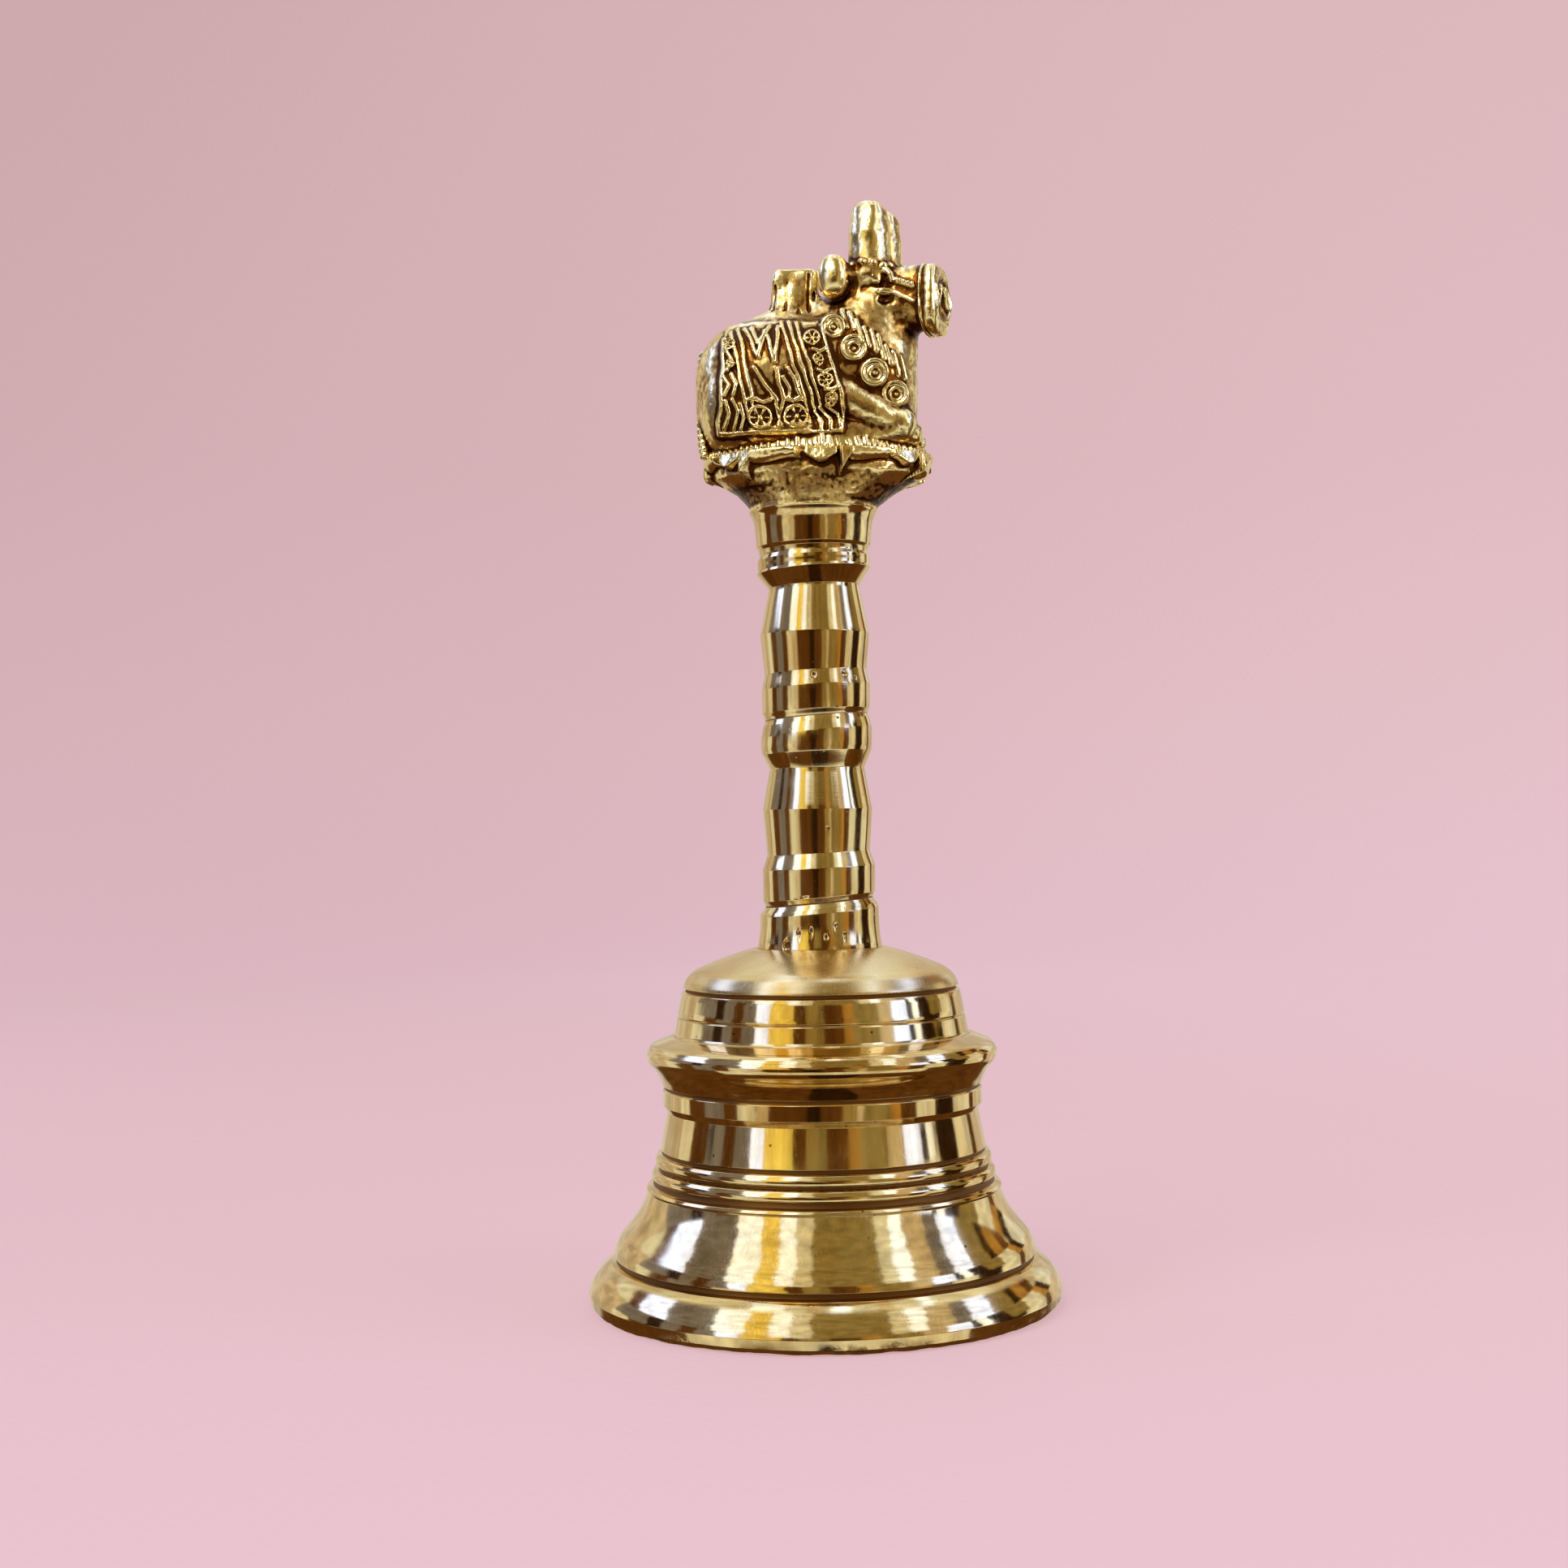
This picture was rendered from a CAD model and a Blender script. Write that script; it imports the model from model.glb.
from itertools import product
from math import ceil, cos, hypot, pi, radians, sin, tan
import bpy
import bmesh
import numpy as np
from mathutils import Matrix, Vector


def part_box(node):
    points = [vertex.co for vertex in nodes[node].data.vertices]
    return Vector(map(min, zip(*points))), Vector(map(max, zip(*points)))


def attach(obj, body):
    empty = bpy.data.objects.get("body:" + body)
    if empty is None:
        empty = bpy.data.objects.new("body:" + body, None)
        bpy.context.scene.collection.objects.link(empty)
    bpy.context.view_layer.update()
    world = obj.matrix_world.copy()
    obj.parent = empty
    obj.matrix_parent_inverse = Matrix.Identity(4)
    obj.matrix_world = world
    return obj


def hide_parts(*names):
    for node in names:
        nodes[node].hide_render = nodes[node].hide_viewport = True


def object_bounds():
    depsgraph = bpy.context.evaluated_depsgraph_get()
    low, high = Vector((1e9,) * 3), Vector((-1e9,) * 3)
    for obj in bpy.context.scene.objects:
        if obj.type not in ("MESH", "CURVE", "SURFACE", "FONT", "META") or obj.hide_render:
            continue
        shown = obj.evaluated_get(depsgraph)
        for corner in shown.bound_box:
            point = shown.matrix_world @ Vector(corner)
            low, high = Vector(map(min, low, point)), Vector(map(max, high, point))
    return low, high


# Brass puja bell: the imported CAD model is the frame, in metres. Shapes here are worked out in
# millimetres and turned into metres when a mesh is made.
MM = 0.001
CORNERS = list(product((0, 1), repeat=3))

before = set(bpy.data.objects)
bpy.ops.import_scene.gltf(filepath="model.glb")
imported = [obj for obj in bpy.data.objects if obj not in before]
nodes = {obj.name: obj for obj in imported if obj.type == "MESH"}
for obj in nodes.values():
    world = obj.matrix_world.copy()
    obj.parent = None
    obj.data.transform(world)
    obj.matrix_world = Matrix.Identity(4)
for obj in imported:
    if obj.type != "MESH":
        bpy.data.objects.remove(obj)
cad_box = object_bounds()


# ---- noise

def lattice(ix, iy, iz, seed):
    """Repeatable numbers from 0 to 1 at whole-number points."""
    n = (ix * 73856093) ^ (iy * 19349663) ^ (iz * 83492791) ^ (seed * 374761393)
    n = ((n ^ (n >> 13)) * 1274126177) & 0xFFFFFFFF
    return ((n ^ (n >> 16)) & 0xFFFF).astype(np.float32) / 65535.0


def noise(x, y, z, grain, seed=0):
    """Smooth noise from -1 to 1 with features about grain millimetres across."""
    cells = [np.asarray(c, np.float32) / grain for c in (x, y, z)]
    low = [np.floor(c).astype(np.int64) for c in cells]
    part = [c - i for c, i in zip(cells, low)]
    blend = [p * p * (3 - 2 * p) for p in part]
    total = 0.0
    for corner in CORNERS:
        weight = 1.0
        for d, b in zip(corner, blend):
            weight = weight * (b if d else 1 - b)
        total = total + weight * lattice(*(i + d for i, d in zip(low, corner)), seed)
    return total * 2 - 1


def rough(x, y, z, grain, octaves, seed=0):
    """Noise with finer and weaker copies of itself added."""
    total = 0.0
    for octave in range(octaves):
        total = total + noise(x, y, z, grain / 2 ** octave, seed + octave) / 2 ** octave
    return total


def ease(value, low, high):
    """0 below low, 1 above high, smooth between."""
    t = np.clip((value - low) / (high - low), 0, 1)
    return t * t * (3 - 2 * t)


# ---- turned pieces

CORNER_TURN = radians(11.5)
CORNER_ROUND = 0.06
LONGEST_STEP = 1.3
HOLLOW_REACH = 0.9


def section(node):
    """The outline (radius, height, in mm) of a turned CAD node, cut on the +X side of y = 0."""
    bm = bmesh.new()
    bm.from_mesh(nodes[node].data)
    bmesh.ops.remove_doubles(bm, verts=bm.verts, dist=1e-6)
    everything = bm.verts[:] + bm.edges[:] + bm.faces[:]
    cut = bmesh.ops.bisect_plane(bm, geom=everything, dist=1e-7, plane_co=(0, 0, 0), plane_no=(0, 1, 0))
    beside = {}
    for edge in cut["geom_cut"]:
        if isinstance(edge, bmesh.types.BMEdge) and all(v.co.x > -1e-7 for v in edge.verts):
            a, b = edge.verts
            beside.setdefault(a, []).append(b)
            beside.setdefault(b, []).append(a)
    start = next((v for v in beside if len(beside[v]) == 1), next(iter(beside)))
    closed = len(beside[start]) == 2
    path = [start]
    behind = None
    while True:
        ahead = [v for v in beside[path[-1]] if v is not behind]
        if not ahead or ahead[0] is start:
            break
        behind = path[-1]
        path.append(ahead[0])
    points = np.array([(v.co.x, v.co.z) for v in path]) / MM
    bm.free()
    return points, closed


def smooth_outline(points, closed):
    """The outline with its arcs made finer, its long runs divided and its corners just rounded."""
    count = len(points)
    ahead = np.roll(points, -1, 0) - points
    if not closed:
        ahead[-1] = ahead[-2]
    length = np.linalg.norm(ahead, axis=1)
    unit = ahead / length[:, None]
    back = np.roll(unit, 1, 0)
    if not closed:
        back[0] = unit[0]
    turn = np.arccos(np.clip((unit * back).sum(1), -1, 1))
    corner = turn > CORNER_TURN
    tangent = unit + back
    tangent /= np.maximum(np.linalg.norm(tangent, axis=1), 1e-9)[:, None]
    result = []
    for i in range(count if closed else count - 1):
        j = (i + 1) % count
        start, end = points[i], points[j]
        trim_a = min(CORNER_ROUND, 0.3 * length[i]) if corner[i] else 0.0
        trim_b = min(CORNER_ROUND, 0.3 * length[i]) if corner[j] else 0.0
        if corner[i]:
            before = start - back[i] * min(CORNER_ROUND, 0.3 * length[i - 1])
            after = start + unit[i] * trim_a
            result.append(0.25 * before + 0.5 * start + 0.25 * after)
        leave = unit[i] if corner[i] else tangent[i]
        arrive = unit[i] if corner[j] else tangent[j]
        first = start + unit[i] * trim_a
        last = end - unit[i] * trim_b
        span = np.linalg.norm(last - first)
        pieces = max(1, ceil(span / LONGEST_STEP))
        for k in range(pieces):
            t = k / pieces
            cubic = ((2 * t**3 - 3 * t**2 + 1) * first + (t**3 - 2 * t**2 + t) * span * leave
                     + (3 * t**2 - 2 * t**3) * last + (t**3 - t**2) * span * arrive)
            result.append(cubic)
        if corner[j]:
            result.append(last)
    if not closed:
        result.append(points[-1])
    return np.array(result)


def hollowness(outline, closed, normal):
    """How far each point of the outline lies under the average of its neighbours, in mm."""
    length = np.linalg.norm(np.diff(outline, axis=0), axis=1)
    along = np.concatenate([[0], np.cumsum(length)])
    share = np.gradient(along)
    gap = np.abs(along[:, None] - along[None, :])
    if closed:
        around = along[-1] + np.linalg.norm(outline[0] - outline[-1])
        gap = np.minimum(gap, around - gap)
    weight = np.exp(-(gap / HOLLOW_REACH) ** 2) * share
    middle = weight @ outline / weight.sum(1)[:, None]
    return ((middle - outline) * normal).sum(1)


def lathe_quads(count, segments, closed):
    """Quads between count rings of vertices, the last joined to the first if it is closed."""
    ring = np.arange(segments)
    ahead = (ring + 1) % segments
    row = np.arange(count if closed else count - 1)[:, None] * segments
    above = (row + segments) % (count * segments)
    return np.stack([row + ring, row + ahead, above + ahead, above + ring], -1).reshape(-1, 4)


def turned(name, node, segments, swell, shear=None):
    """A finely turned copy of a CAD node. swell(x, y, z) moves its surface out, in mm, and
    shear(x, y, z) moves it up."""
    outline, closed = section(node)
    outline = smooth_outline(outline, closed)
    ahead = np.roll(outline, -1, 0) - np.roll(outline, 1, 0)
    if not closed:
        ahead[0] = outline[1] - outline[0]
        ahead[-1] = outline[-1] - outline[-2]
    normal = np.stack([ahead[:, 1], -ahead[:, 0]], 1)
    normal /= np.linalg.norm(normal, axis=1)[:, None]
    after = np.roll(outline, -1, 0)
    if np.sum(outline[:, 0] * after[:, 1] - after[:, 0] * outline[:, 1]) < 0:
        normal = -normal
    hollow = np.repeat(hollowness(outline, closed, normal)[:, None], segments, 1)
    angle = np.arange(segments) * 2 * pi / segments
    radius, height = (np.repeat(outline[:, k:k + 1], segments, 1) for k in (0, 1))
    x, y = radius * np.cos(angle), radius * np.sin(angle)
    out = swell(x, y, height)
    radius = np.maximum(radius + normal[:, :1] * out * (radius > 0.01), 0)
    height = height + normal[:, 1:] * out * (radius > 0.01)
    x, y = radius * np.cos(angle), radius * np.sin(angle)
    if shear:
        height = height + shear(x, y, height)
    verts = np.stack([x, y, height], 2).reshape(-1, 3) * MM
    piece = mesh_piece(name, verts, lathe_quads(len(outline), segments, closed))
    keep(piece, "hollow", hollow)
    bm = bmesh.new()
    bm.from_mesh(piece.data)
    bmesh.ops.remove_doubles(bm, verts=bm.verts, dist=2e-7)
    bmesh.ops.dissolve_degenerate(bm, edges=bm.edges, dist=1e-8)
    bmesh.ops.recalc_face_normals(bm, faces=bm.faces)
    bm.to_mesh(piece.data)
    bm.free()
    soften(piece)
    return piece


def mesh_piece(name, verts, faces):
    mesh = bpy.data.meshes.new(name)
    mesh.vertices.add(len(verts))
    mesh.vertices.foreach_set("co", np.asarray(verts, np.float32).ravel())
    corners = faces.shape[1]
    mesh.loops.add(faces.size)
    mesh.loops.foreach_set("vertex_index", faces.astype(np.int32).ravel())
    mesh.polygons.add(len(faces))
    mesh.polygons.foreach_set("loop_start", np.arange(0, faces.size, corners, dtype=np.int32))
    mesh.update(calc_edges=True)
    mesh.validate()
    piece = bpy.data.objects.new(name, mesh)
    bpy.context.scene.collection.objects.link(piece)
    return piece


def keep(piece, label, values):
    """Stores a number at every vertex for the material to read."""
    store = piece.data.attributes.new(label, "FLOAT", "POINT")
    store.data.foreach_set("value", np.asarray(values, np.float32).ravel())


def per_vertex(piece, what):
    """One vector for every vertex: its place, co, or its normal."""
    values = np.empty(len(piece.data.vertices) * 3, np.float32)
    piece.data.vertices.foreach_get(what, values)
    return values.reshape(-1, 3)


def soften(piece, weighted=True):
    """Smooth shading, with the flats' own normals kept beside the rounded corners."""
    piece.data.polygons.foreach_set("use_smooth", np.ones(len(piece.data.polygons), bool))
    if weighted:
        bend = piece.modifiers.new("flats", "WEIGHTED_NORMAL")
        bend.mode = "FACE_AREA"
        bend.weight = 50


# ---- carved finial

class Field:
    """A block of signed distances, in mm, that forms are blended into; negative is inside."""

    def __init__(self, low, high, step):
        self.low = np.array(low, np.float32)
        self.step = step
        counts = np.ceil((np.array(high) - self.low) / step).astype(int) + 1
        self.axes = [self.low[k] + step * np.arange(counts[k], dtype=np.float32) for k in range(3)]
        self.values = np.full(counts, 6.0, np.float32)

    def part(self, low, high):
        """The slices and the coordinates of the block between two corners."""
        cuts = []
        for axis, a, b in zip(self.axes, low, high):
            first = int(np.searchsorted(axis, a))
            last = int(np.searchsorted(axis, b))
            cuts.append(slice(max(first - 1, 0), min(last + 1, len(axis))))
        x, y, z = (axis[cut] for axis, cut in zip(self.axes, cuts))
        return tuple(cuts), x[:, None, None], y[None, :, None], z[None, None, :]

    def carve(self, form, blend):
        self.join(form, blend, -1.0)

    def join(self, form, blend, sign=1.0):
        """Adds a form, or carves it away if sign is -1, with a rounded join blend mm wide."""
        distance, low, high = form
        margin = blend + 0.8
        cut, x, y, z = self.part(np.array(low) - margin, np.array(high) + margin)
        a, b = self.values[cut] * sign, distance(x, y, z)
        mix = np.clip(0.5 + 0.5 * (a - b) / blend, 0, 1)
        joined = a + (b - a) * mix - blend * mix * (1 - mix)
        self.values[cut] = joined * sign

    def surface(self):
        """The zero surface as vertices (mm) and quads, by the surface-nets method."""
        d = self.values
        inside = d < 0
        cells = np.zeros(tuple(n - 1 for n in d.shape), np.int8)
        shift = [slice(0, -1), slice(1, None)]
        for i, j, k in CORNERS:
            cells += inside[shift[i], shift[j], shift[k]]
        active = (cells > 0) & (cells < 8)
        where = np.argwhere(active)
        index = np.full(cells.shape, -1, np.int32)
        index[active] = np.arange(len(where))
        total = np.zeros((len(where), 3), np.float32)
        hits = np.zeros(len(where), np.float32)
        for axis in range(3):
            others = [a for a in range(3) if a != axis]
            for steps in product((0, 1), repeat=2):
                base = where.copy()
                base[:, others] += steps
                tip = base.copy()
                tip[:, axis] += 1
                da, db = d[tuple(base.T)], d[tuple(tip.T)]
                crossed = (da < 0) != (db < 0)
                share = np.where(crossed, da / np.where(crossed, da - db, 1), 0)
                at = (base - where).astype(np.float32)
                at[:, axis] += share
                total += at * crossed[:, None]
                hits += crossed
        points = (where + total / hits[:, None]) * self.step + self.low
        quads = []
        for axis in range(3):
            others = [a for a in range(3) if a != axis]
            change = np.diff(inside, axis=axis)
            for a in others:
                np.moveaxis(change, a, 0)[[0, -1]] = False
            at = np.argwhere(change)
            around = []
            for steps in ((0, 0), (1, 0), (1, 1), (0, 1)):
                cell = at.copy()
                cell[:, others] -= steps
                around.append(index[tuple(cell.T)])
            quad = np.stack(around, 1)
            flip = inside[tuple(at.T)] == (axis != 1)
            quad[flip] = quad[flip][:, ::-1]
            quads.append(quad)
        return points, np.concatenate(quads)

    def sample(self, block, points):
        """Values of a block of the field's shape at points, each between its grid's corners."""
        at = np.clip((points - self.low) / self.step, 0, np.array(block.shape) - 1.001)
        low = at.astype(int)
        part = at - low
        total = 0.0
        for corner in CORNERS:
            weight = 1.0
            for axis, side in enumerate(corner):
                weight = weight * (part[:, axis] if side else 1 - part[:, axis])
            total = total + weight * block[tuple((low + corner).T)]
        return total

    def blurred(self, radius):
        """The field, evened out over a cube about radius millimetres across."""
        width = max(1, round(radius / self.step / 2))
        block = self.values.copy()
        for _ in range(2):
            for axis in range(3):
                edge = [(0, 0)] * 3
                edge[axis] = (width + 1, width)
                total = np.cumsum(np.pad(block, edge, mode="edge"), axis=axis, dtype=np.float32)
                far = [slice(None)] * 3
                near = [slice(None)] * 3
                far[axis], near[axis] = slice(2 * width + 1, None), slice(0, -2 * width - 1)
                block = (total[tuple(far)] - total[tuple(near)]) / (2 * width + 1)
        return block


def ball(centre, sizes, power=2.0, turn=0.0, lean=0.0):
    """An ellipsoid, squarer as its power rises. turn is about Z and lean about Y, in degrees."""
    cx, cy, cz = centre
    ca, sa = cos(radians(turn)), sin(radians(turn))
    cl, sl = cos(radians(lean)), sin(radians(lean))

    def distance(x, y, z):
        dx, dy, dz = x - cx, y - cy, z - cz
        dx, dy = dx * ca + dy * sa, dy * ca - dx * sa
        dx, dz = dx * cl - dz * sl, dz * cl + dx * sl
        parts = [np.maximum(np.abs(q) / s, 1e-3) for q, s in zip((dx, dy, dz), sizes)]
        reach = sum(p ** power for p in parts) ** (1 / power)
        slope = sum((p ** (power - 1) / s) ** 2 for p, s in zip(parts, sizes)) ** 0.5
        return (reach - 1) * reach ** (power - 1) / slope

    far = max(sizes) * (1.0 if turn == lean == 0 else 1.05)
    size = np.array(sizes) if turn == lean == 0 else np.full(3, far)
    return distance, np.array(centre) - size, np.array(centre) + size


def rod(start, end, thick_a, thick_b=None):
    """A round bar with ball ends between two points, tapering from one thickness to the other."""
    a, b = np.array(start, float), np.array(end, float)
    thick_b = thick_a if thick_b is None else thick_b
    along = b - a
    square = float(along @ along)

    def distance(x, y, z):
        dx, dy, dz = x - a[0], y - a[1], z - a[2]
        t = np.clip((dx * along[0] + dy * along[1] + dz * along[2]) / square, 0, 1)
        gap = ((dx - t * along[0]) ** 2 + (dy - t * along[1]) ** 2 + (dz - t * along[2]) ** 2) ** 0.5
        return gap - (thick_a + (thick_b - thick_a) * t)

    thick = max(thick_a, thick_b)
    return distance, np.minimum(a, b) - thick, np.maximum(a, b) + thick


def hoop(centre, radius, thick):
    """A round ring that stands in the side view's plane."""
    cx, cy, cz = centre

    def distance(x, y, z):
        return np.hypot(np.hypot(x - cx, z - cz) - radius, y - cy) - thick

    reach = np.array((radius + thick, thick, radius + thick))
    return distance, np.array(centre) - reach, np.array(centre) + reach


def oval_stack(stations, centre_x, low, high):
    """An oval column: half length and half width follow the height through the stations."""
    heights = [s[0] for s in stations]
    longs = [s[1] for s in stations]
    wides = [s[2] for s in stations]

    def distance(x, y, z):
        long = np.interp(z, heights, longs).astype(np.float32)
        wide = np.interp(z, heights, wides).astype(np.float32)
        shift = np.interp(z, heights, centre_x).astype(np.float32)
        px, py = (x - shift) / long, y / wide
        reach = np.maximum((px * px + py * py) ** 0.5, 1e-3)
        slope = ((px / long) ** 2 + (py / wide) ** 2) ** 0.5 / reach
        side = (reach - 1) / np.maximum(slope, 1e-3)
        return np.maximum(side, np.maximum(low - z, z - high))

    size = max(max(longs), max(wides)) + max(abs(c) for c in centre_x)
    return distance, (-size, -size, low), (size, size, high)


def stroke(x, z, points, width, height):
    """A raised line through points of the side view, as a height over x and z."""
    gap = np.full(np.broadcast_shapes(x.shape, z.shape), 9.0, np.float32)
    for (ax, az), (bx, bz) in zip(points[:-1], points[1:]):
        vx, vz = bx - ax, bz - az
        t = np.clip(((x - ax) * vx + (z - az) * vz) / (vx * vx + vz * vz), 0, 1)
        gap = np.minimum(gap, np.hypot(x - ax - t * vx, z - az - t * vz))
    return height * ease(width - gap, 0, width * 0.75)


def medal(x, z, centre, radius, height):
    """A raised disc with a rim, a sunk ring, a boss and notches, as a height over x and z."""
    dx, dz = x - centre[0], z - centre[1]
    gap = np.hypot(dx, dz)
    rim = ease(0.2 * radius - np.abs(gap - 0.82 * radius), 0, 0.15 * radius)
    boss = ease(0.34 * radius - gap, 0, 0.25 * radius)
    petals = ease(np.cos(6 * np.arctan2(dz, dx)), 0.1, 0.9)
    petals = petals * ease(0.3 * radius - np.abs(gap - 0.5 * radius), 0, 0.2 * radius)
    disc = ease(radius - gap, 0, 0.12 * radius)
    return height * (0.35 * disc + 0.65 * np.maximum(rim, np.maximum(boss, 0.7 * petals)))


# The finial's own frame: its seat on the grip is z = 0, and the bull faces +X.
SEAT_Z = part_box("nandi_finial")[0].z / MM
CARVE_STEP = 0.17
HEAD_TURN = -22.0
POLL_X = 8.4
DECK_Z = 8.9
TRIANGLES = 190000
BORE = rod((0, 0, -2), (0, 0, 9.6), 3.0)


def head_point(ahead, left, up):
    """A point given from the poll: ahead towards the muzzle, left and up."""
    turn = radians(HEAD_TURN)
    return (POLL_X + ahead * cos(turn) - left * sin(turn),
            ahead * sin(turn) + left * cos(turn), up)


def head_ball(ahead, left, up, sizes, power=2.0, lean=0.0):
    return ball(head_point(ahead, left, up), sizes, power, HEAD_TURN, lean)


def head_rod(start, end, thick_a, thick_b=None):
    return rod(head_point(*start), head_point(*end), thick_a, thick_b)


def bull_masses(field):
    """The reclining body, from large masses to limbs."""
    field.join(ball((-3.6, 0, 20.4), (15.0, 10.6, 12.1), 2.25), 1.0)
    field.join(ball((-8.8, 0, 18.9), (9.8, 10.3, 11.4), 2.7), 1.5)
    field.join(ball((7.4, 0, 19.6), (10.1, 9.7, 13.6), 2.5), 2.0)
    field.join(ball((9.9, -0.8, 29.2), (7.6, 6.6, 8.2), 2.4), 2.5)
    field.join(ball((0.6, 0, 11.5), (17.0, 10.4, 3.2), 3.0), 0.8)
    field.join(ball((9.2, 0, 12.4), (8.4, 9.3, 3.4), 3.0), 0.8)
    field.join(ball((3.4, 0, 31.2), (5.2, 5.2, 4.4)), 1.2)
    for side in (-1, 1):
        field.join(rod((4.4, 7.9 * side, 17.6), (14.2, 6.9 * side, 13.0), 3.3, 2.7), 0.7)
        field.join(ball((8.2, 8.7 * side, 15.4), (5.2, 1.9, 2.2), 2.4, lean=27), 0.9)
        field.join(rod((14.4, 7.2 * side, 11.7), (4.6, 8.8 * side, 11.0), 1.8, 1.6), 0.4)
        field.join(ball((15.7, 5.2 * side, 11.6), (2.3, 2.4, 2.0), 2.4), 0.5)
        field.join(ball((-11.6, 6.3 * side, 16.4), (5.6, 4.9, 6.6), 2.2, lean=14), 1.6)
        field.join(rod((-9.0, 9.4 * side, 11.7), (-1.0, 9.8 * side, 11.4), 1.7, 1.4), 0.4)
    for k in range(4):
        field.join(ball((17.4 - 0.5 * k, -1.8 + 1.2 * k - 4.0 * (k % 2), 10.8), (1.3, 1.2, 1.5)), 0.3)


def hump(field):
    """Tall flat-topped hump, with the folds that run down it."""
    field.join(ball((-4.2, 0, 29.4), (6.6, 5.6, 3.4)), 1.8)
    field.join(rod((-3.0, 0, 29.0), (-2.5, 0, 35.0), 4.6, 3.8), 1.6)
    field.join(ball((-2.3, 0, 35.2), (3.85, 3.4, 4.6), 7.0), 0.6)
    field.carve(ball((-2.1, 0, 40.6), (3.1, 2.6, 1.1)), 0.5)
    for k in range(17):
        angle = 2 * pi * (k + 0.35 * sin(5 * k)) / 17
        x, y = cos(angle), sin(angle)
        foot = (-2.8 + 4.9 * x, 4.9 * y, 30.0 + 0.8 * sin(3 * k))
        top = (-2.3 + 4.2 * x, 3.8 * y, 38.4 + 1.2 * sin(2 * k))
        field.carve(rod(foot, top, 0.34, 0.24), 0.3)


def tail(field):
    """Braided tail that lies down the rump and over the base's end."""
    for k in range(17):
        z = 25.5 - 1.05 * k
        x = -17.9 + 0.9 * ease(abs(z - 18.0), 4.0, 12.0)
        for side in (-1, 1):
            place = (x, -1.6 + 0.75 * side, z + 0.5 * side)
            field.join(ball(place, (1.0, 0.95, 0.75), lean=30 * side), 0.15)


def skull(field):
    """Head, turned a little to the bull's right, with a blunt round muzzle."""
    field.join(head_ball(2.4, 0, 34.7, (6.4, 5.3, 5.0), 2.4), 1.5)
    field.join(head_ball(8.2, 0, 34.1, (6.2, 4.4, 5.3), 2.8), 1.2)
    field.join(head_ball(1.6, 0, 38.0, (4.0, 5.0, 2.2), 2.2), 0.8)
    field.join(head_rod((11.0, 0, 33.6), (12.6, 0, 33.4), 4.0), 0.8)
    field.join(head_ball(13.0, 0, 33.4, (1.5, 4.5, 5.7), 3.2), 0.4)
    field.join(head_ball(11.75, 0, 33.5, (0.55, 4.9, 5.9), 2.6), 0.15)
    field.carve(head_ball(15.2, 0, 33.4, (1.5, 3.3, 4.5), 2.4), 0.3)
    for side in (-1, 1):
        field.join(head_rod((14.1, 1.0 * side, 35.2), (14.2, 2.3 * side, 32.4), 0.55, 0.4), 0.3)
        field.carve(head_rod((14.2, 1.7 * side, 34.4), (14.3, 2.0 * side, 33.4), 0.3), 0.2)
    for side in (-1, 1):
        field.carve(head_rod((14.5, 2.4 * side, 29.9), (14.7, 0, 29.6), 0.32), 0.25)
    for side in (-1, 1):
        field.carve(head_rod((11.95, 4.75 * side, 37.4), (11.95, 4.75 * side, 30.0), 0.26), 0.2)


def eyes(field):
    """Almond eyes between a deep brow hollow and a cheek hollow, under a rolled brow."""
    for side in (-1, 1):
        field.carve(head_ball(5.6, 5.4 * side, 36.0, (2.1, 1.4, 0.9), lean=10), 0.5)
        field.carve(head_ball(6.3, 5.4 * side, 33.3, (1.3, 1.2, 0.9)), 0.7)
        field.join(head_ball(5.4, 4.5 * side, 34.7, (1.9, 0.9, 0.75), lean=8), 0.3)
        field.join(head_ball(5.5, 5.0 * side, 34.7, (0.8, 0.6, 0.5)), 0.15)
        field.join(head_rod((3.3, 4.9 * side, 35.0), (7.4, 4.4 * side, 34.4), 0.24), 0.2)
        for k in range(7):
            ends = []
            for t in (pi * k / 7, pi * (k + 1) / 7):
                ends.append((4.9 - 2.3 * cos(t), 4.75 * side, 36.4 + 2.0 * sin(t)))
            field.join(head_rod(*ends, 0.5), 0.15)
        field.join(head_ball(4.6, 5.0 * side, 36.6, (0.8, 0.6, 0.7)), 0.2)
        field.join(head_rod((7.4, 4.3 * side, 36.4), (10.6, 4.3 * side, 35.0), 0.4), 0.25)
        field.join(head_rod((7.6, 4.4 * side, 34.4), (10.7, 4.4 * side, 32.6), 0.32), 0.25)
        for k in range(6):
            bead = (7.3 + 0.65 * k, 4.5 * side, 36.7 - 0.25 * k)
            field.join(head_ball(*bead, (0.42, 0.42, 0.42)), 0.1)


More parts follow.
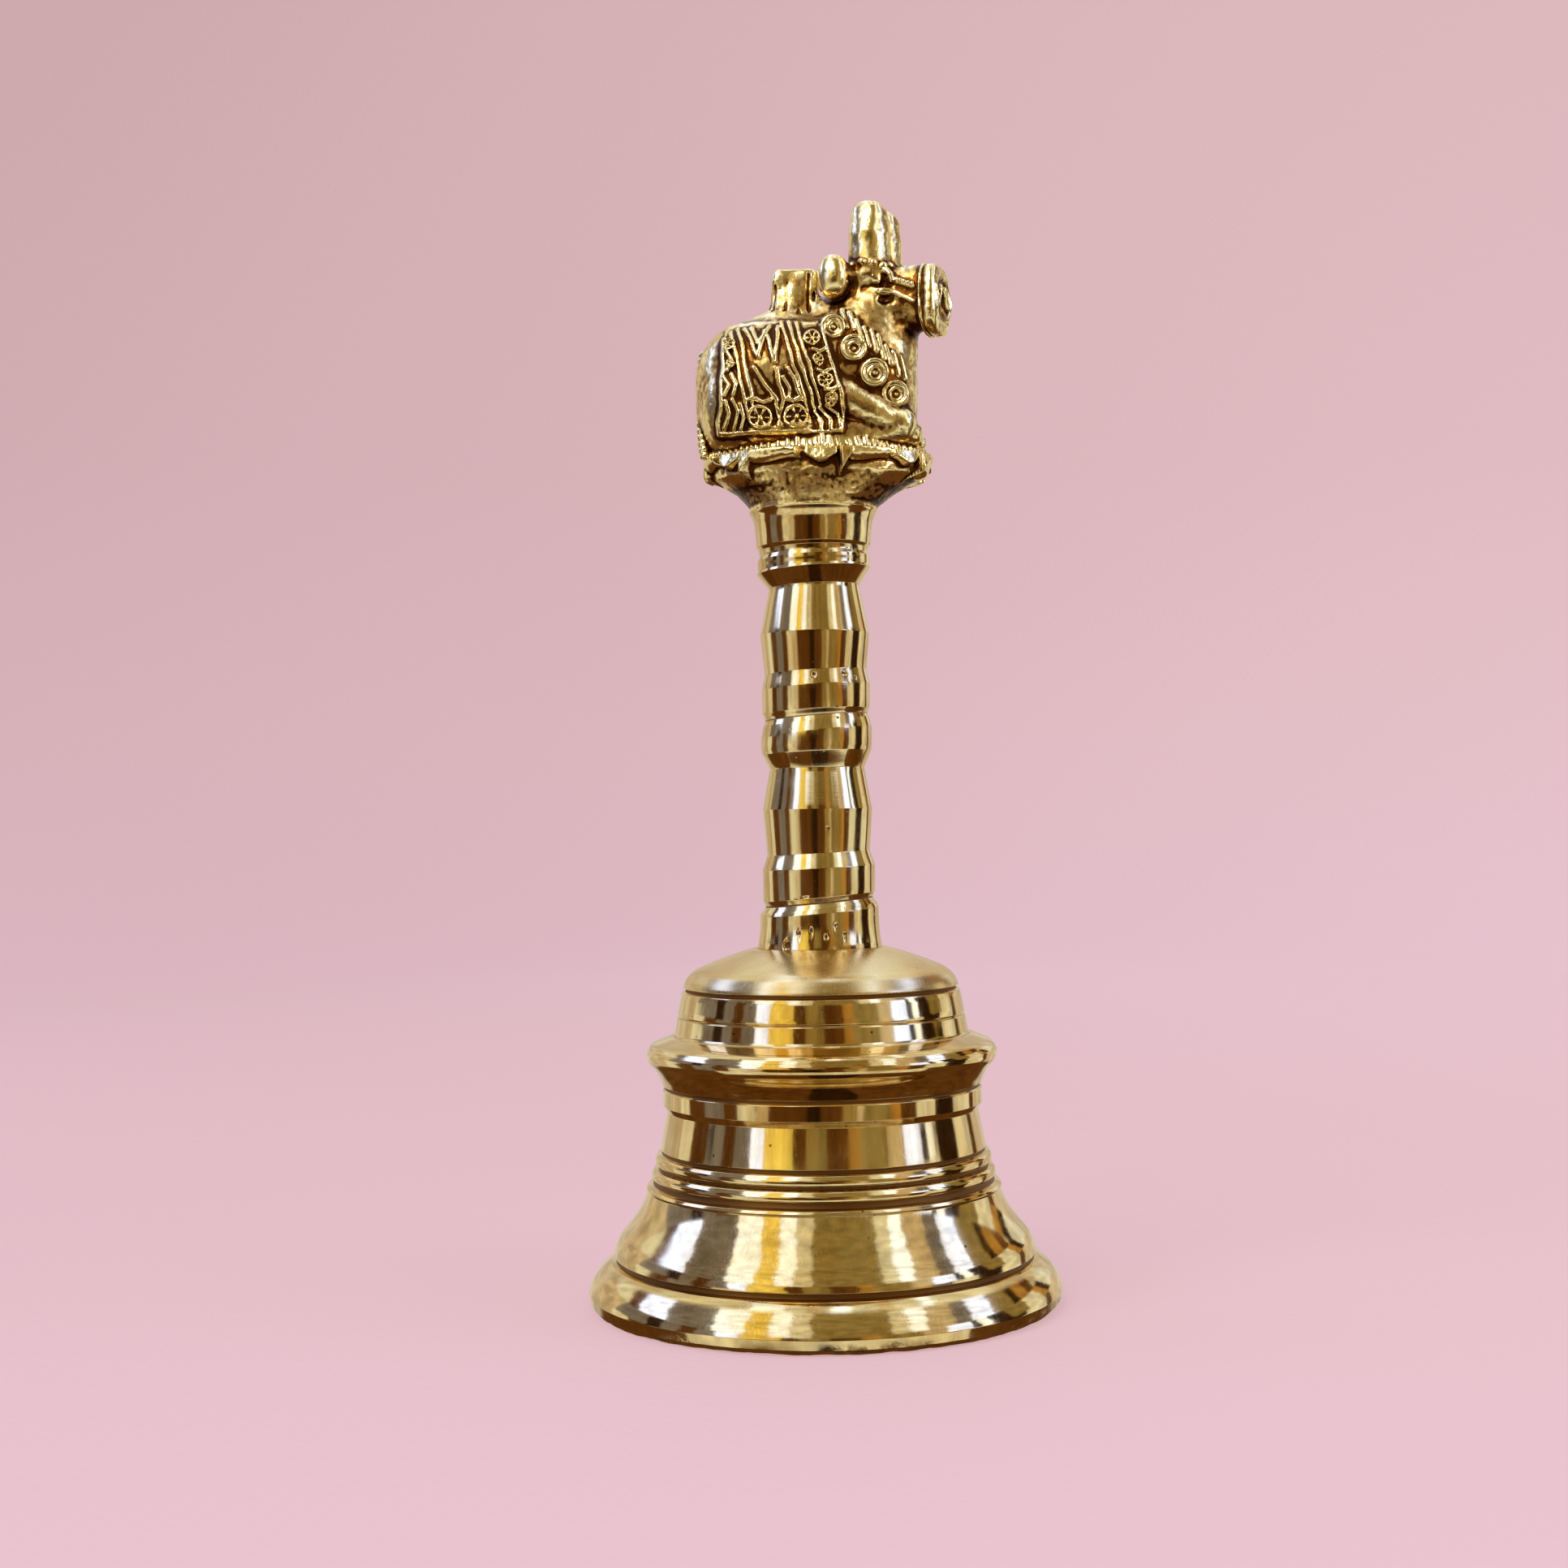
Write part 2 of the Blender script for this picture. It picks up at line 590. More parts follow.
def ears_and_horns(field):
    for side in (-1, 1):
        field.join(head_rod((1.6, 3.6 * side, 37.6), (-1.2, 6.2 * side, 37.9), 2.3, 1.9), 0.8)
        field.join(head_ball(-1.9, 7.2 * side, 37.3, (2.6, 2.4, 3.6), 2.2), 0.5)
        for k in range(4):
            start = (0.2 + 0.85 * k, 5.2 * side, 39.0 - 0.2 * k)
            end = (-0.1 + 0.6 * k, 5.6 * side, 35.2 - 0.3 * k)
            field.join(head_rod(start, end, 0.5, 0.38), 0.2)
        foot = (2.7, 2.8 * side, 38.0)
        middle = (2.8, 2.9 * side, 44.4)
        field.join(head_rod(foot, middle, 3.6, 3.25), 0.5)
        field.join(head_rod(middle, (2.9, 2.8 * side, 47.0), 3.25, 2.9), 0.6)
        field.join(head_ball(2.75, 2.9 * side, 46.5, (2.95, 2.8, 3.6), 2.6), 0.4)
        for k in range(12):
            a = 2 * pi * k / 12
            bead = (2.7 + 3.5 * cos(a), 2.8 * side + 3.5 * sin(a), 39.2 + 0.3 * sin(3 * a))
            field.join(head_ball(*bead, (0.75, 0.75, 0.55)), 0.35)


# Chased work on the flanks: places are (x, z) in the side view.
STRAPS = [
    [(-12.7, 28.2), (-11.4, 21.5), (-9.9, 13.6)],
    [(-11.5, 28.8), (-10.3, 21.5), (-8.9, 14.2)],
    [(-4.6, 29.6), (-2.9, 23.0), (-0.6, 15.2), (-0.2, 12.6)],
    [(-3.4, 29.6), (-1.7, 23.0), (0.6, 15.2), (1.2, 12.9)],
    [(-2.2, 29.4), (-0.7, 23.4), (1.6, 15.6)],
]
EDGES = [
    [(1.6, 29.0), (3.3, 23.0), (5.2, 15.2), (4.6, 11.4)],
    [(-13.8, 27.0), (-14.1, 20.0), (-14.9, 11.3), (-5.0, 11.2), (4.6, 11.4)],
]
ZIGZAGS = [
    [(-10.4, 28.6), (-8.3, 23.4), (-7.2, 28.0), (-5.7, 22.6), (-5.0, 28.6)],
    [(-9.4, 28.6), (-8.3, 25.6), (-6.3, 28.9)],
    [(-9.2, 21.6), (-7.3, 18.8), (-5.4, 16.2)],
    [(-5.3, 21.4), (-5.1, 18.8), (-4.4, 16.2)],
    [(-3.6, 21.6), (-2.2, 18.4), (-1.4, 16.4)],
    [(-4.4, 20.0), (-3.4, 18.0), (-3.6, 16.4)],
]
LEAVES = [
    [(-12.6, 16.4), (-11.6, 14.4), (-12.4, 11.9)],
    [(-11.2, 15.6), (-10.6, 13.6), (-11.2, 11.8)],
    [(-13.8, 16.2), (-13.2, 14.0), (-14.0, 12.0)],
    [(-5.6, 16.0), (-5.2, 14.2), (-4.7, 12.4)],
    [(-4.4, 16.0), (-4.8, 14.0), (-5.2, 12.2)],
    [(-9.9, 16.4), (-8.8, 16.6), (-7.6, 16.1), (-6.4, 16.5)],
    [(-4.0, 16.4), (-2.8, 16.1), (-1.6, 16.6)],
    [(0.6, 14.6), (1.6, 13.2), (1.4, 11.6)],
    [(1.4, 15.2), (2.9, 13.6), (2.9, 11.8)],
    [(2.5, 15.4), (4.1, 14.2), (4.4, 12.2)],
    [(-13.4, 24.9), (-12.6, 23.2), (-13.5, 21.6)],
    [(-13.9, 20.6), (-12.9, 18.9), (-13.8, 17.2)],
    [(-12.6, 20.9), (-11.7, 19.0), (-12.4, 17.2)],
    [(0.4, 24.6), (1.5, 24.2), (2.4, 24.7)],
    [(1.2, 21.2), (2.2, 20.9), (3.0, 21.3)],
    [(2.4, 18.0), (3.4, 17.8), (4.1, 18.2)],
]
MEDALS = [
    ((-8.1, 13.7), 2.1), ((-2.4, 13.7), 2.1), ((0.3, 26.6), 1.45), ((1.3, 22.8), 1.1),
    ((2.3, 19.5), 1.35), ((3.3, 16.3), 1.1), ((-13.0, 25.9), 1.15), ((-12.9, 22.6), 0.8),
]
NECKLACE = [(3.7, 28.6, 1.95), (6.9, 24.8, 2.2), (10.2, 20.7, 2.3), (13.5, 17.5, 2.2)]
CLOTH_LIFT = 0.28


def chasing(x, z):
    """Height of the saddle cloth and its ornament over the side view."""
    x = x + 0.22 * noise(x, 0 * z, z, 2.2, 41)
    z = z + 0.22 * noise(x, 0 * z, z, 2.2, 43)
    left = np.interp(z, [11.2, 20.0, 27.0], [-14.9, -14.1, -13.8])
    right = np.interp(z, [11.4, 15.2, 23.0, 29.0], [4.6, 5.2, 3.3, 1.6])
    cloth = ease(x - left, 0, 0.25) * ease(right - x, 0, 0.25) * ease(z, 11.0, 11.3)
    cloth = cloth * ease(30.4 - z, 0, 1.0)
    height = CLOTH_LIFT * cloth
    for lines, width, lift in ((STRAPS, 0.45, 0.45), (ZIGZAGS, 0.52, 0.5), (LEAVES, 0.55, 0.55)):
        for points in lines:
            height = np.maximum(height, CLOTH_LIFT * cloth + stroke(x, z, points, width, lift))
    for points in EDGES:
        height = np.maximum(height, stroke(x, z, points, 0.5, 0.7))
    for centre, radius in MEDALS:
        height = np.maximum(height, CLOTH_LIFT * cloth + medal(x, z, centre, radius, 0.8))
    return height


def chase_flanks(field):
    """Raises the side view's ornament on both flanks."""
    x, z = field.axes[0][:, None], field.axes[2][None, :]
    height = chasing(x, z).astype(np.float32)
    side = ease(np.abs(field.axes[1]), 3.0, 6.0).astype(np.float32)
    field.values -= height[:, None, :] * side[None, :, None]


def flank_y(field, x, z, side):
    """Where the field's surface is on one side, at a place of the side view."""
    i = int(round((x - field.low[0]) / field.step))
    k = int(round((z - field.low[2]) / field.step))
    column = field.values[i, :, k]
    inside = np.nonzero(column < 0)[0]
    return field.axes[1][inside[0] if side < 0 else inside[-1]]


def necklace(field):
    """Round bells on a cord across each shoulder, with the fringe that hangs above them."""
    for side in (-1, 1):
        for x, z, radius in NECKLACE:
            y = flank_y(field, x, z, side)
            field.join(ball((x, y, z), (radius, 1.0, radius), 2.3), 0.12)
            dish = 0.76 * radius
            field.carve(ball((x, y + 1.5 * side, z), (dish, 0.95, dish), 2.3), 0.12)
            field.join(hoop((x, y + 0.75 * side, z), 0.84 * radius, 0.36), 0.12)
            field.join(hoop((x + 0.1, y + 0.6 * side, z - 0.1), 0.45 * radius, 0.27), 0.1)
            field.join(ball((x + 0.1, y + 0.5 * side, z - 0.1), (0.36, 0.4, 0.3)), 0.1)
        for k in range(9):
            x = 5.2 + 1.15 * k
            top = 31.8 - 0.9 * (x - 5.2) + 0.4 * sin(1.7 * k)
            foot = top - 3.4 + 0.5 * sin(2.3 * k)
            y, y_foot = flank_y(field, x, top, side), flank_y(field, x + 0.8, foot, side)
            field.join(rod((x, y, top), (x + 0.8, y_foot, foot), 0.42, 0.5), 0.15)


def carve_noise(field, amount):
    """The grain of the sand mould, and its larger unevenness."""
    cut = np.abs(field.values) < 1.2
    x, y, z = (np.broadcast_to(a, field.values.shape)[cut] for a in (
        field.axes[0][:, None, None], field.axes[1][None, :, None], field.axes[2][None, None, :]))
    grain = 0.6 * rough(x, y, z, 0.8, 2, 11) + 0.9 * noise(x, y, z, 3.2, 29)
    field.values[cut] += amount * grain


def fringe_strip(field):
    """Notched border round the deck, under the bull."""
    stations = [(8.0, 17.7, 11.3), (9.3, 17.7, 11.3), (10.9, 17.1, 10.8)]
    field.join(oval_stack(stations, [1.0, 1.0, 0.8], 8.6, 10.9), 0.25)
    count = 88
    for k in range(count):
        a = 2 * pi * (k + 0.45 * sin(7.0 * k)) / count
        x, y = cos(a), sin(a)
        foot = (0.9 + 17.75 * x, 11.35 * y, 8.9 + 0.2 * sin(3 * k))
        top = (0.8 + 17.2 * x, 10.9 * y, 10.2 + 0.4 * sin(5 * k))
        thick = 0.27 + 0.1 * sin(11 * k)
        field.join(rod(foot, top, thick, thick), 0.3)


PETAL_PAIRS = 7
PETAL_START = 0.55
WIDE_SHARE = 0.6


def petal_height(around, z):
    """Height of the drooping petals over the base's wall; around runs 0 to 1 about it. A wide
    petal, whose near corner hangs down as a point, and a narrow one take turns."""
    place = (around * PETAL_PAIRS + PETAL_START + 0.03 * np.sin(around * 24.0)) % 1.0
    drop = (9.0 - z) / 4.9
    wide = place / WIDE_SHARE
    narrow = (place - WIDE_SHARE) / (1 - WIDE_SHARE)
    lip = np.sqrt(np.clip(1 - ((drop - 0.10) / (0.36 + 0.06 * np.sin(wide * 5.2))) ** 2, 0, 1))
    point = ease(0.34 * np.clip(1 - drop, 0, 1) ** 1.3 + 0.05 - wide, 0, 0.10) * ease(1.0 - drop, 0, 0.1)
    scoop = 0.2 * ease(0.88 - 0.25 * wide * wide - drop, 0, 0.25)
    notch = ease(wide, 0.0, 0.05) * ease(1.0 - wide, 0.0, 0.10)
    broad = np.maximum(1.7 * np.maximum(lip * notch, point), scoop * notch)
    side = ease(0.5 - np.abs(narrow - 0.5), 0, 0.12)
    fold = 0.36 + 0.26 * ease(0.5 - np.abs(narrow - 0.5), 0, 0.5)
    tooth = ease(fold - drop, 0, 0.14) * (0.9 + 0.7 * drop) * side
    return np.where(wide < 1, broad, 1.2 * tooth) * (drop > -0.05)


def lotus_field():
    """Round neck opening into the oval lotus base."""
    field = Field((-21.5, -15.5, -1.0), (23.5, 15.5, DECK_Z + 1.2), CARVE_STEP)
    stations = [(0.0, 10.35, 10.35), (0.9, 10.6, 10.5), (1.6, 11.3, 10.7), (3.2, 13.1, 10.9),
                (4.4, 15.4, 10.9), (5.4, 17.0, 11.0), (6.6, 17.3, 10.9), (9.6, 17.0, 10.7)]
    shift = [0.0, 0.1, 0.3, 0.7, 0.9, 1.1, 1.2, 1.0]
    field.join(oval_stack(stations, shift, 0.0, DECK_Z), 0.2)
    x, y, z = field.axes[0][:, None, None], field.axes[1][None, :, None], field.axes[2][None, None, :]
    around = np.arctan2(y / 11.0, (x - 1.1) / 17.4) / (2 * pi) % 1.0
    lift = petal_height(around, z) * ease(DECK_Z + 0.1 - z, 0, 0.3)
    field.values -= lift.astype(np.float32)
    field.values = np.maximum(field.values, np.maximum(-z, z - DECK_Z).astype(np.float32))
    for side, (px, pz, size) in enumerate([(17.2, 6.4, 1.9), (18.1, 7.9, 1.5), (-16.4, 6.8, 1.6)]):
        field.join(ball((px, -3.0 + 2.4 * side, pz), (size, 2.6, size), 2.3), 0.5)
    carve_noise(field, 0.1)
    field.carve(BORE, 0.05)
    return field


def bull_field():
    field = Field((-21.5, -15.0, DECK_Z - 1.4), (26.0, 15.0, 51.5), CARVE_STEP)
    bull_masses(field)
    hump(field)
    skull(field)
    chase_flanks(field)
    necklace(field)
    eyes(field)
    ears_and_horns(field)
    tail(field)
    fringe_strip(field)
    carve_noise(field, 0.075)
    z = field.axes[2][None, None, :]
    field.values = np.maximum(field.values, DECK_Z - 0.15 - z)
    return field


def carved(name, field):
    """A mesh piece from a field, thinned to the triangle budget, with how proud each place stands."""
    points, quads = field.surface()
    piece = mesh_piece(name, (points + (0, 0, SEAT_Z)) * MM, quads)
    thin = piece.modifiers.new("thin", "DECIMATE")
    thin.ratio = min(1.0, TRIANGLES / (2 * len(quads)))
    apply_modifiers(piece)
    at = per_vertex(piece, "co") / MM - (0, 0, SEAT_Z)
    level = field.sample(field.values, at)
    for label, width, gain in (("proud_fine", 0.7, 9.0), ("proud_broad", 2.6, 2.2)):
        proud = (field.sample(field.blurred(width), at) - level) * gain
        keep(piece, label, np.clip(proud, -1, 1))
    soften(piece, weighted=False)
    return piece


def apply_modifiers(piece):
    bpy.context.view_layer.update()
    graph = bpy.context.evaluated_depsgraph_get()
    mesh = bpy.data.meshes.new_from_object(piece.evaluated_get(graph))
    old = piece.data
    piece.modifiers.clear()
    piece.data = mesh
    bpy.data.meshes.remove(old)
    mesh.name = piece.name


# ---- cup, grip and hardware

# Filed rings of the grip sit a little askew: how far up the grip, and their tilt in degrees.
RING_TILTS = [(118.0, 3.0), (100.5, 3.0), (92.0, 5.5), (71.5, 2.5), (64.0, 4.8)]
TILT_REACH = 3.5
CUP_WAVE = 0.016


def ring_tilt(x, _, z):
    """How far the grip's askew rings carry its surface up."""
    lift = 0.0
    for height, degrees in RING_TILTS:
        nearness = np.exp(-((z - height) / TILT_REACH) ** 2)
        lift = lift + x * tan(radians(degrees)) * nearness
    low, high = (corner.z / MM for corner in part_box("handle_grip"))
    return lift * ease(z, low + 1.5, low + 4.0) * ease(high - z, 0.5, 3.0)


def cup_swell(x, y, z):
    """Slow unevenness from hand polishing, and the as-cast ripple of the mouth."""
    outer = ease(np.hypot(x, y), 8.0, 14.0)
    wave = CUP_WAVE * noise(x, y, z, 13.0, 3)
    mouth = 0.09 * rough(x, y, z, 2.4, 3, 7) * ease(1.6 - z, 0, 1.4)
    return wave * outer + mouth


def grip_swell(x, y, z):
    wave = 0.036 * noise(x, y, z, 5.0, 13)
    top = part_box("handle_grip")[1].z / MM
    return (wave - 0.012) * ease(top - z, 0.0, 0.8)


# Casting pits: which side they face (degrees round from the front towards +X), height,
# width, length and depth, in mm.
GRIP_PITS = [
    (-32, 57.5, 0.65, 0.9, 0.5), (-20, 59.4, 0.3, 0.35, 0.3), (-8, 60.1, 0.28, 0.3, 0.25),
    (6, 58.8, 0.4, 0.35, 0.3), (15, 60.6, 0.3, 0.3, 0.25), (24, 59.2, 0.26, 0.4, 0.25),
    (-14, 65.1, 0.8, 0.16, 0.25), (-24, 64.8, 0.4, 0.14, 0.2), (-2, 100.8, 0.42, 0.42, 0.35),
    (33, 100.9, 0.6, 0.3, 0.3), (48, 100.3, 0.3, 0.3, 0.25), (10, 76.1, 0.25, 0.25, 0.2),
    (118, 58.3, 0.5, 0.45, 0.35), (150, 60.2, 0.35, 0.3, 0.25), (205, 59.0, 0.4, 0.5, 0.3),
    (238, 101.0, 0.4, 0.35, 0.3), (170, 84.0, 0.28, 0.28, 0.25), (96, 123.0, 0.3, 0.25, 0.2),
]
PIT_DARK = 0.25
PIT_REACH = 1.5


def pitted(piece, pits):
    """Cuts pits into a turned piece, after making its mesh finer round each of them."""
    bm = bmesh.new()
    bm.from_mesh(piece.data)
    hollow = bm.verts.layers.float["hollow"]
    for degrees, height, wide, tall, depth in pits:
        angle = radians(degrees)
        aim = Vector((sin(angle), -cos(angle), 0))
        side = Vector((aim.y, -aim.x, 0))
        span = (max(wide, tall) * PIT_REACH + 0.4) * MM
        for _ in range(2):
            near = [e for e in bm.edges if near_pit(e.verts[0].co, aim, side, height, span)
                    and e.calc_length() > 0.13 * MM]
            if near:
                bmesh.ops.subdivide_edges(bm, edges=near, cuts=1, use_grid_fill=True)
        for vert in bm.verts:
            if not near_pit(vert.co, aim, side, height, span):
                continue
            u, v = vert.co.dot(side) / MM, vert.co.z / MM - height
            ragged = 0.3 * float(noise(u * 1.0, v * 1.0, height, 0.45, 31))
            gap = hypot(u / wide, v / tall) + ragged
            sunk = float(ease(1.15 - gap, 0.0, 0.75))
            vert.co -= aim * depth * MM * sunk
            vert[hollow] = max(vert[hollow], PIT_DARK * sunk)
    bmesh.ops.triangulate(bm, faces=[f for f in bm.faces if len(f.verts) > 4])
    bm.to_mesh(piece.data)
    bm.free()
    soften(piece, weighted=False)


def near_pit(place, aim, side, height, span):
    return (abs(place.z - height * MM) < span and place.dot(aim) > 3 * MM
            and abs(place.dot(side)) < span)


def fit(piece, node):
    """Puts a piece on the bell's body in place of a CAD node."""
    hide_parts(node)
    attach(piece, "bell")
    return piece


def make_cup():
    piece = turned("bell_cup_shell", "bell_cup", 288, cup_swell)
    return fit(piece, "bell_cup")


def make_grip():
    piece = turned("turned_grip", "handle_grip", 240, grip_swell, ring_tilt)
    pitted(piece, GRIP_PITS)
    return fit(piece, "handle_grip")


def make_finial():
    pieces = [carved("nandi_bull", bull_field()), carved("lotus_base", lotus_field())]
    return [fit(piece, "nandi_finial") for piece in pieces]


# ---- materials

class Tree:
    """Short calls for building a node tree."""

    def __init__(self, tree):
        self.tree = tree

    def wire(self, source, target):
        if isinstance(source, bpy.types.NodeSocket):
            self.tree.links.new(source, target)
        else:
            target.default_value = source

    def node(self, kind, output=0, inputs=(), **settings):
        made = self.tree.nodes.new(kind)
        for key, value in settings.items():
            setattr(made, key, value)
        for key, value in inputs:
            self.wire(value, made.inputs[key])
        return made.outputs[output]

    def math(self, operation, a, b=0.5, c=0.5):
        return self.node("ShaderNodeMath", inputs=((0, a), (1, b), (2, c)), operation=operation)

    def times(self, a, b):
        return self.math("MULTIPLY", a, b)

    def scaled(self, value, gain, base):
        return self.math("MULTIPLY_ADD", value, gain, base)

    def band(self, value, low, high, to_low=0.0, to_high=1.0):
        return self.node("ShaderNodeMapRange", inputs=(
            (0, value), (1, low), (2, high), (3, to_low), (4, to_high)),
            interpolation_type="SMOOTHSTEP")

    def blend(self, amount, a, b, mode="MIX"):
        """A mix of two colours, which are a mix node's inputs 6 and 7 and its output 2."""
        made = self.tree.nodes.new("ShaderNodeMix")
        made.data_type = "RGBA"
        made.blend_type = mode
        self.wire(amount, made.inputs[0])
        self.wire(a, made.inputs[6])
        self.wire(b, made.inputs[7])
        return made.outputs[2]


class Finish(Tree):
    """One metal's material."""

    def __init__(self, name):
        self.material = bpy.data.materials.new(name)
        self.material.use_nodes = True
        super().__init__(self.material.node_tree)
        self.shader = self.tree.nodes["Principled BSDF"]
        self.shader.inputs["Metallic"].default_value = 1.0
        self.place = self.tree.nodes.new("ShaderNodeTexCoord").outputs["Object"]

    def grain(self, size, detail=2.0, stretch=(1, 1, 1), sharp=0.5, distortion=0.0):
        """Noise from 0 to 1, with features about size millimetres across."""
        place = self.node("ShaderNodeMapping", inputs=(("Vector", self.place), ("Scale", stretch)))
        return self.node("ShaderNodeTexNoise", inputs=(
            ("Vector", place), ("Scale", 1 / (size * MM)), ("Detail", detail),
            ("Roughness", sharp), ("Distortion", distortion)))

    def spots(self, size):
        return self.node("ShaderNodeTexVoronoi", inputs=(
            ("Vector", self.place), ("Scale", 1 / (size * MM))))

    def attribute(self, label):
        return self.node("ShaderNodeAttribute", output=2, attribute_name=label)

    def grime(self, ragged):
        """Dirt left in grooves and pits, from the piece's hollow attribute."""
        hollow = self.attribute("hollow")
        hollow = self.scaled(self.math("SUBTRACT", ragged, 0.5), 0.03, hollow)
        return self.band(hollow, 0.125, 0.19)

    def height(self):
        split = self.tree.nodes.new("ShaderNodeSeparateXYZ")
        self.wire(self.place, split.inputs[0])
        return split.outputs[2]

    def bumps(self, layers):
        """Bump from (height, strength, distance in mm), each laid over the one before."""
        normal = None
        for height, strength, distance in layers:
            made = self.tree.nodes.new("ShaderNodeBump")
            made.inputs["Strength"].default_value = strength
            made.inputs["Distance"].default_value = distance * MM
            self.wire(height, made.inputs["Height"])
            if normal:
                self.wire(normal, made.inputs["Normal"])
            normal = made.outputs[0]
        self.wire(normal, self.shader.inputs["Normal"])

    def finish(self, colour, roughness):
        self.wire(colour, self.shader.inputs["Base Color"])
        self.wire(roughness, self.shader.inputs["Roughness"])
        return self.material


BRASS = (0.86, 0.66, 0.31, 1)
BRASS_DEEP = (0.70, 0.47, 0.17, 1)
BRASS_PALE = (0.93, 0.80, 0.50, 1)
TARNISH = (0.25, 0.115, 0.025, 1)
SOOT = (0.080, 0.024, 0.003, 1)
GRIME = (0.20, 0.085, 0.018, 1)
CAST = (0.80, 0.54, 0.18, 1)
CAST_DEEP = (0.57, 0.33, 0.08, 1)
CAST_WORN = (0.98, 0.77, 0.33, 1)
ZINC = (0.56, 0.57, 0.57, 1)
ZINC_DARK = (0.42, 0.43, 0.43, 1)
RUST = (0.30, 0.17, 0.08, 1)


def brass_grip():
    """Buffed brass: fine lathe rings and wipe scratches, cloudy patches, dark pin holes."""
    n = Finish("handle_brass_turned")
    rings = n.grain(0.16, 3.0, (0.05, 0.05, 1.0), 0.6)
    wipes = n.grain(0.35, 4.0, (1.0, 1.0, 0.12), 0.65, 0.6)
    cloud = n.grain(14.0, 3.0, distortion=0.8)
    speck = n.band(n.spots(2.3), 0.05, 0.13)
    holes = n.math("MAXIMUM", speck, n.band(n.grain(6.0, 2.0), 0.42, 0.52))
    grime = n.grime(n.grain(1.2, 3.0))
    colour = n.blend(n.band(cloud, 0.32, 0.68), BRASS_DEEP, BRASS)
    colour = n.blend(n.times(n.band(wipes, 0.5, 0.72), 0.35), colour, BRASS_PALE)
    colour = n.blend(holes, TARNISH, colour)
    colour = n.blend(grime, colour, GRIME)
    shine = n.scaled(n.band(wipes, 0.4, 0.75), 0.07, 0.075)
    shine = n.scaled(grime, 0.35, shine)
    shine = n.math("ADD", shine, n.times(n.band(cloud, 0.5, 0.8), 0.09))
    shine = n.math("MAXIMUM", shine, n.scaled(holes, -0.4, 0.5))
    n.bumps(((rings, 0.16, 0.02), (wipes, 0.05, 0.02), (holes, 0.4, 0.05)))
    return n.finish(colour, shine)


# The cup's satin crown starts CROWN_TALL under its top, and its raw mouth ends at MOUTH_TOP.
CROWN_TALL = 7.5 * MM
CROWN_BLEND = 1.5 * MM
MOUTH_TOP = 2.2 * MM
MOUTH_RAW = 0.4 * MM


def brass_cup():
    """The bell's brass: polished outside, dull and as cast where it is hollow or at the mouth."""
    n = Finish("polished_brass_cup")
    rings = n.grain(0.16, 3.0, (0.05, 0.05, 1.0), 0.6)
    wipes = n.grain(0.4, 4.0, (1.0, 1.0, 0.14), 0.65, 0.8)
    cloud = n.grain(16.0, 3.0, distortion=0.8)
    cast = n.grain(0.9, 4.0, sharp=0.6)
    hidden = n.attribute("hidden")
    raw = n.times(n.band(n.height(), MOUTH_TOP, MOUTH_RAW), n.band(n.grain(2.6, 3.0), 0.44, 0.6))
    raw = n.times(raw, n.band(n.grain(38.0, 1.0), 0.48, 0.56))
    dull = n.math("MAXIMUM", hidden, raw)
    speck = n.band(n.spots(3.1), 0.045, 0.1)
    holes = n.math("MAXIMUM", speck, n.band(n.grain(7.0, 2.0), 0.4, 0.5))
    colour = n.blend(n.band(cloud, 0.3, 0.7), BRASS_DEEP, BRASS)
    colour = n.blend(n.times(n.band(wipes, 0.5, 0.72), 0.35), colour, BRASS_PALE)
    colour = n.blend(holes, TARNISH, colour)
    grime = n.grime(n.grain(1.6, 3.0))
    colour = n.blend(grime, colour, GRIME)
    inside = n.blend(n.band(cast, 0.35, 0.65), TARNISH, BRASS_DEEP)
    colour = n.blend(dull, colour, inside)
    shine = n.scaled(n.band(wipes, 0.4, 0.75), 0.06, 0.07)
    shine = n.math("ADD", shine, n.times(n.band(cloud, 0.5, 0.8), 0.08))
    shine = n.math("ADD", shine, n.times(dull, 0.36))
    shine = n.scaled(grime, 0.35, shine)
    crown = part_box("bell_cup")[1].z - CROWN_TALL
    shine = n.math("ADD", shine, n.band(n.height(), crown, crown + CROWN_BLEND, 0.0, 0.16))
    n.bumps(((rings, 0.06, 0.02), (wipes, 0.05, 0.02), (n.times(cast, dull), 0.6, 0.12)))
    return n.finish(colour, shine)


